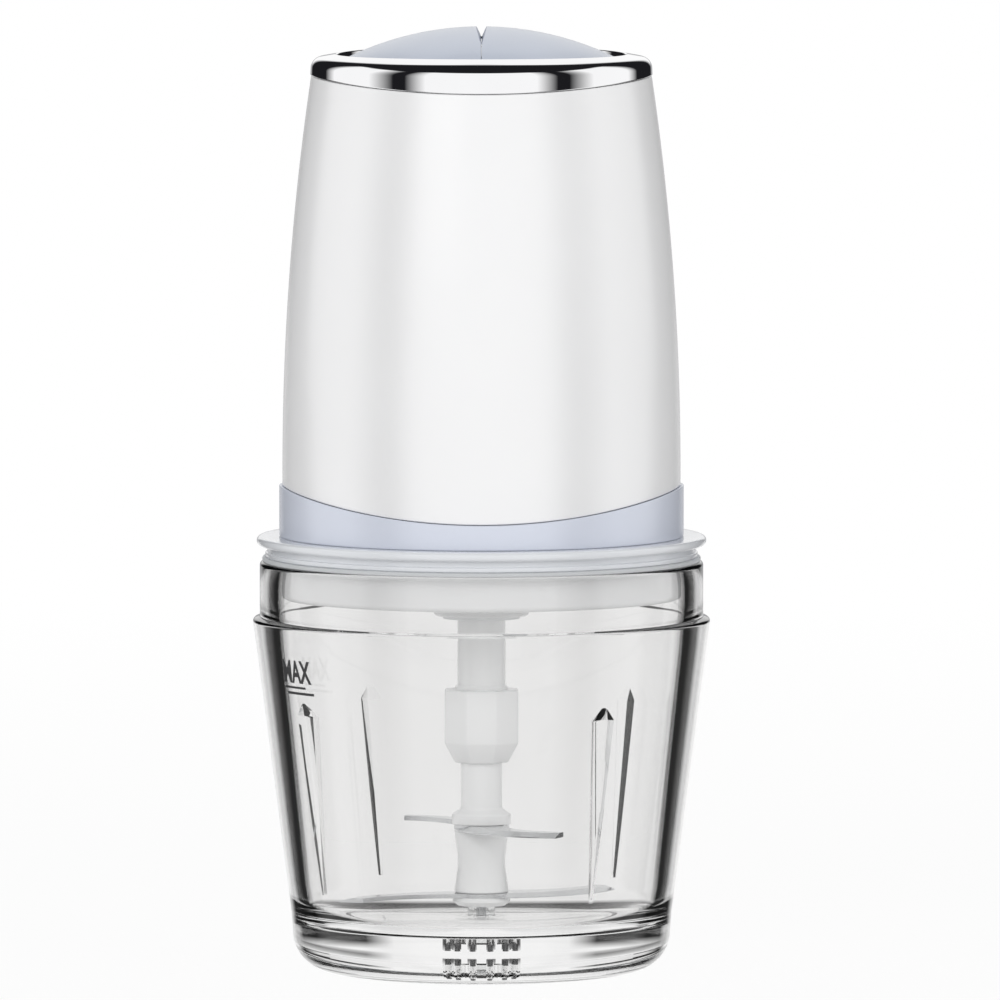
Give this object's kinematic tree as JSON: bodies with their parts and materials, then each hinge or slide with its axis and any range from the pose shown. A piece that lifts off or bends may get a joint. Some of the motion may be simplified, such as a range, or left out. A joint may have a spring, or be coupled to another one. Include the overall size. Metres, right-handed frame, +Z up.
{
  "type": "food processor",
  "caption": "Mini food processor: a glass bowl with a lid and spinning cutters, under a barrel-shaped motor unit worked by two push buttons that form its domed top.",
  "frame": {"origin": "middle of the underside of the bowl, in the plane it stands on", "axes": "+Z up along the drive axis, front towards -Y, +X to the right seen from the front"},
  "size_m": [0.1234, 0.1234, 0.2549],
  "materials": {
    "bowl_glass": "clear pressed glass, fire polished",
    "clear_plastic": "clear moulded plastic, gloss",
    "pin_steel": "turned stainless steel",
    "lid_plastic": "translucent pale blue-grey plastic, gloss",
    "silicone": "translucent pale silicone",
    "bush_plastic": "natural acetal",
    "frosted_plastic": "translucent frosted plastic",
    "blade_steel": "ground stainless steel with a bright bevelled edge",
    "collar_plastic": "pale blue-grey plastic, satin gloss",
    "housing_plastic": "white plastic, high gloss",
    "black_rubber": "black moulded rubber",
    "ring_chrome": "bright chrome plate on plastic",
    "inner_plastic": "natural moulded plastic, matte",
    "button_plastic": "pale blue-grey plastic, satin gloss",
    "spring_steel": "bright spring wire",
    "switch_red": "red moulded plastic",
    "switch_black": "black moulded plastic",
    "zinc_sheet": "zinc plated sheet",
    "board_green": "green lacquered circuit board",
    "capacitor_yellow": "yellow epoxy case",
    "gear_steel": "sintered steel",
    "gear_nylon": "natural nylon",
    "coupling_plastic": "natural glass-filled nylon",
    "bearing_bronze": "oil-soaked sintered bronze",
    "screw_zinc": "zinc plated screws",
    "lamination_steel": "stacked steel laminations",
    "winding_copper": "varnished copper wire",
    "commutator_copper": "turned copper bars",
    "fan_nylon": "black moulded nylon",
    "holder_brass": "folded brass",
    "brush_carbon": "pressed carbon"
  },
  "bodies": {
    "bowl": {"glass_bowl": "bowl_glass", "bowl_post": "clear_plastic", "pivot_pin": "pin_steel"},
    "lid": {"bowl_lid": "lid_plastic", "lid_seal": "silicone", "spindle_bush": "bush_plastic"},
    "motor_unit": {"base_collar": "collar_plastic", "housing_shell": "housing_plastic", "cord_gland": "black_rubber", "chrome_ring": "ring_chrome", "button_deck": "inner_plastic", "low_button_spring": "spring_steel", "high_button_spring": "spring_steel", "switch_bodies": "switch_black", "switch_bracket": "zinc_sheet", "control_board": "board_green", "noise_capacitor": "capacitor_yellow", "rectifier": "switch_black", "ring_gear": "gear_nylon", "gearbox_case": "inner_plastic", "gearbox_cover": "inner_plastic", "output_bearing": "bearing_bronze", "gearbox_screws": "screw_zinc", "lower_motor_bracket": "inner_plastic", "upper_motor_bracket": "inner_plastic", "lower_bearing": "bearing_bronze", "upper_bearing": "bearing_bronze", "stator_core": "lamination_steel", "field_coils": "winding_copper", "motor_screws": "screw_zinc", "brush_holders": "holder_brass", "carbon_brushes": "brush_carbon", "brush_springs": "spring_steel", "vibration_mounts": "black_rubber", "base_screws": "screw_zinc"},
    "armature": {"armature_shaft": "pin_steel", "armature_core": "lamination_steel", "armature_windings": "winding_copper", "commutator": "commutator_copper", "cooling_fan": "fan_nylon", "sun_gear": "gear_steel"},
    "gear_carrier": {"planet_carrier": "gear_steel", "planet_pins": "pin_steel", "drive_coupling": "coupling_plastic"},
    "planet_1": {"planet_gear_1": "gear_nylon"},
    "planet_2": {"planet_gear_2": "gear_nylon"},
    "planet_3": {"planet_gear_3": "gear_nylon"},
    "blade": {"blade_spindle": "frosted_plastic", "lower_blade": "blade_steel", "upper_blade": "blade_steel", "blade_spacer": "frosted_plastic", "blade_retainer": "frosted_plastic"},
    "low_button": {"low_button": "button_plastic"},
    "high_button": {"high_button": "button_plastic"},
    "low_plunger": {"low_plunger": "switch_red"},
    "high_plunger": {"high_plunger": "switch_red"}
  },
  "joints": [
    {"name": "lid_lift", "type": "slide", "parent": "bowl", "child": "lid", "axis": [0, 0, 1], "range_m": [0, 0.05]},
    {"name": "motor_lift", "type": "slide", "parent": "lid", "child": "motor_unit", "axis": [0, 0, 1], "range_m": [0, 0.05]},
    {"name": "armature_spin", "type": "hinge", "parent": "motor_unit", "child": "armature", "pos_m": [0, 0, 0.16], "axis": [0, 0, 1], "continuous": true},
    {"name": "carrier_spin", "type": "hinge", "parent": "motor_unit", "child": "gear_carrier", "pos_m": [0, 0, 0.118], "axis": [0, 0, 1], "continuous": true},
    {"name": "blade_spin", "type": "hinge", "parent": "bowl", "child": "blade", "pos_m": [0, 0, 0.05], "axis": [0, 0, 1], "continuous": true},
    {"name": "low_button_press", "type": "slide", "parent": "motor_unit", "child": "low_button", "axis": [0, 0, -1], "range_m": [0, 0.003], "stiffness_N_per_m": 900, "springref_m": -0.002, "deforming": ["low_button_spring"]},
    {"name": "high_button_press", "type": "slide", "parent": "motor_unit", "child": "high_button", "axis": [0, 0, -1], "range_m": [0, 0.003], "stiffness_N_per_m": 900, "springref_m": -0.002, "deforming": ["high_button_spring"]},
    {"name": "low_plunger_press", "type": "slide", "parent": "motor_unit", "child": "low_plunger", "axis": [0, 0, -1], "range_m": [0, 0.003]},
    {"name": "high_plunger_press", "type": "slide", "parent": "motor_unit", "child": "high_plunger", "axis": [0, 0, -1], "range_m": [0, 0.003]},
    {"name": "planet_1_spin", "type": "hinge", "parent": "gear_carrier", "child": "planet_1", "pos_m": [0.012, 0, 0.1229], "axis": [0, 0, 1], "continuous": true},
    {"name": "planet_2_spin", "type": "hinge", "parent": "gear_carrier", "child": "planet_2", "pos_m": [-0.006, 0.01039, 0.1229], "axis": [0, 0, 1], "continuous": true},
    {"name": "planet_3_spin", "type": "hinge", "parent": "gear_carrier", "child": "planet_3", "pos_m": [-0.006, -0.01039, 0.1229], "axis": [0, 0, 1], "continuous": true}
  ],
  "couplings": [
    {"joint": "carrier_spin", "follows": "armature_spin", "ratio": 0.2},
    {"joint": "blade_spin", "follows": "armature_spin", "ratio": 0.2},
    {"joint": "low_plunger_press", "follows": "low_button_press", "ratio": 1},
    {"joint": "high_plunger_press", "follows": "high_button_press", "ratio": 1},
    {"joint": "planet_1_spin", "follows": "armature_spin", "ratio": -0.53333},
    {"joint": "planet_2_spin", "follows": "armature_spin", "ratio": -0.53333},
    {"joint": "planet_3_spin", "follows": "armature_spin", "ratio": -0.53333}
  ]
}
